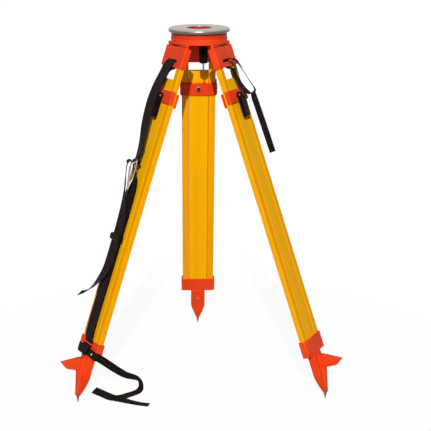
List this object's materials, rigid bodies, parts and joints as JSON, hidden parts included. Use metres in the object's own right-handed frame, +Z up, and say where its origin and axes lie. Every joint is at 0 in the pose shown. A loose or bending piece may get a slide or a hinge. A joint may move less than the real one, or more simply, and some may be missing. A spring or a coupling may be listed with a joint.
{
  "type": "wooden surveying tripod",
  "caption": "Surveying tripod with a round head plate, hinged wooden legs that slide and clamp, steel-tipped feet, a centring screw and webbing straps.",
  "frame": {"origin": "on the ground, under the middle of the head, with the legs spread", "axes": "+Z up; +Y towards the rear leg; the other legs stand to the left and right in front"},
  "size_m": [0.728, 0.6372, 0.9461],
  "materials": {
    "orange_paint": "semi-gloss orange paint on cast aluminium",
    "yellow_wood": "wood with a smooth yellow coat",
    "bright_steel": "plated steel",
    "black_plastic": "black moulded plastic",
    "zinc_steel": "dull plated steel",
    "black_webbing": "woven black webbing",
    "bare_aluminium": "machined and brushed, polished at the rim"
  },
  "bodies": {
    "head": {"head_plate": "bare_aluminium", "head_casting": "orange_paint", "plate_screws": "bright_steel", "arm_pivot": "bright_steel"},
    "centring_arm": {"centring_arm": "zinc_steel"},
    "screw_bush": {"screw_bush": "zinc_steel"},
    "centring_screw": {"centring_screw": "black_plastic", "plumb_hook": "bright_steel"},
    "rear_leg": {"rear_cap": "orange_paint", "rear_hinge_pin": "orange_paint", "rear_near_rail": "yellow_wood", "rear_far_rail": "yellow_wood", "rear_rail_screws": "orange_paint", "rear_collar": "orange_paint"},
    "rear_lower_leg": {"rear_board": "yellow_wood", "rear_clamp_outer_plate": "orange_paint", "rear_clamp_inner_plate": "orange_paint", "rear_clamp_bolt": "bright_steel", "rear_lever_pin": "bright_steel", "rear_foot": "orange_paint", "rear_foot_point": "bright_steel", "rear_foot_bolt": "bright_steel"},
    "rear_lever": {"rear_clamp_lever": "black_plastic"},
    "left_leg": {"left_cap": "orange_paint", "left_hinge_pin": "orange_paint", "left_near_rail": "yellow_wood", "left_far_rail": "yellow_wood", "left_rail_screws": "orange_paint", "left_collar": "orange_paint", "upper_strap": "black_webbing", "lower_strap": "black_webbing", "strap_buckle": "bright_steel", "strap_slider": "black_plastic", "tie_strap": "black_webbing", "strap_rivet": "bright_steel"},
    "left_lower_leg": {"left_board": "yellow_wood", "left_clamp_outer_plate": "orange_paint", "left_clamp_inner_plate": "orange_paint", "left_clamp_bolt": "bright_steel", "left_lever_pin": "bright_steel", "left_foot": "orange_paint", "left_foot_point": "bright_steel", "left_foot_bolt": "bright_steel"},
    "left_lever": {"left_clamp_lever": "black_plastic"},
    "right_leg": {"right_cap": "orange_paint", "right_hinge_pin": "orange_paint", "right_near_rail": "yellow_wood", "right_far_rail": "yellow_wood", "right_rail_screws": "orange_paint", "right_collar": "orange_paint", "closing_strap": "black_webbing"},
    "right_lower_leg": {"right_board": "yellow_wood", "right_clamp_outer_plate": "orange_paint", "right_clamp_inner_plate": "orange_paint", "right_clamp_bolt": "bright_steel", "right_lever_pin": "bright_steel", "right_foot": "orange_paint", "right_foot_point": "bright_steel", "right_foot_bolt": "bright_steel"},
    "right_lever": {"right_clamp_lever": "black_plastic"}
  },
  "joints": [
    {"name": "rear_spread", "type": "hinge", "parent": "head", "child": "rear_leg", "pos_m": [0, 0.061, 0.89428], "axis": [1, 0, 0], "range_deg": [-18, 12]},
    {"name": "rear_extend", "type": "slide", "parent": "rear_leg", "child": "rear_lower_leg", "axis": [0, 0.3376, -0.9413], "range_m": [0, 0.58]},
    {"name": "rear_clamp", "type": "hinge", "parent": "rear_lower_leg", "child": "rear_lever", "pos_m": [0, 0.12135, 0.78525], "axis": [1, 0, 0], "range_deg": [0, 110]},
    {"name": "left_spread", "type": "hinge", "parent": "head", "child": "left_leg", "pos_m": [-0.05283, -0.0305, 0.89428], "axis": [-0.5, 0.866, 0], "range_deg": [-18, 12], "deforming": ["tie_strap"]},
    {"name": "left_extend", "type": "slide", "parent": "left_leg", "child": "left_lower_leg", "axis": [-0.2924, -0.1688, -0.9413], "range_m": [0, 0.58], "deforming": ["upper_strap", "lower_strap", "strap_buckle", "strap_slider"]},
    {"name": "left_clamp", "type": "hinge", "parent": "left_lower_leg", "child": "left_lever", "pos_m": [-0.10509, -0.06067, 0.78525], "axis": [-0.5, 0.866, 0], "range_deg": [0, 110], "deforming": ["upper_strap", "lower_strap"]},
    {"name": "right_spread", "type": "hinge", "parent": "head", "child": "right_leg", "pos_m": [0.05283, -0.0305, 0.89428], "axis": [-0.5, -0.866, 0], "range_deg": [-18, 12]},
    {"name": "right_extend", "type": "slide", "parent": "right_leg", "child": "right_lower_leg", "axis": [0.2924, -0.1688, -0.9413], "range_m": [0, 0.58]},
    {"name": "right_clamp", "type": "hinge", "parent": "right_lower_leg", "child": "right_lever", "pos_m": [0.10509, -0.06067, 0.78525], "axis": [-0.5, -0.866, 0], "range_deg": [0, 110], "deforming": ["closing_strap"]},
    {"name": "arm_swing", "type": "hinge", "parent": "head", "child": "centring_arm", "pos_m": [-0.04114, 0.02375, 0.92807], "axis": [0, 0, 1], "range_deg": [-18, 18]},
    {"name": "screw_slide", "type": "slide", "parent": "centring_arm", "child": "screw_bush", "axis": [0.866, -0.5, 0], "range_m": [-0.0315, 0.0023]},
    {"name": "screw_turn", "type": "hinge", "parent": "screw_bush", "child": "centring_screw", "pos_m": [0.01048, -0.00605, 0.88607], "axis": [0, 0, 1], "continuous": true}
  ]
}
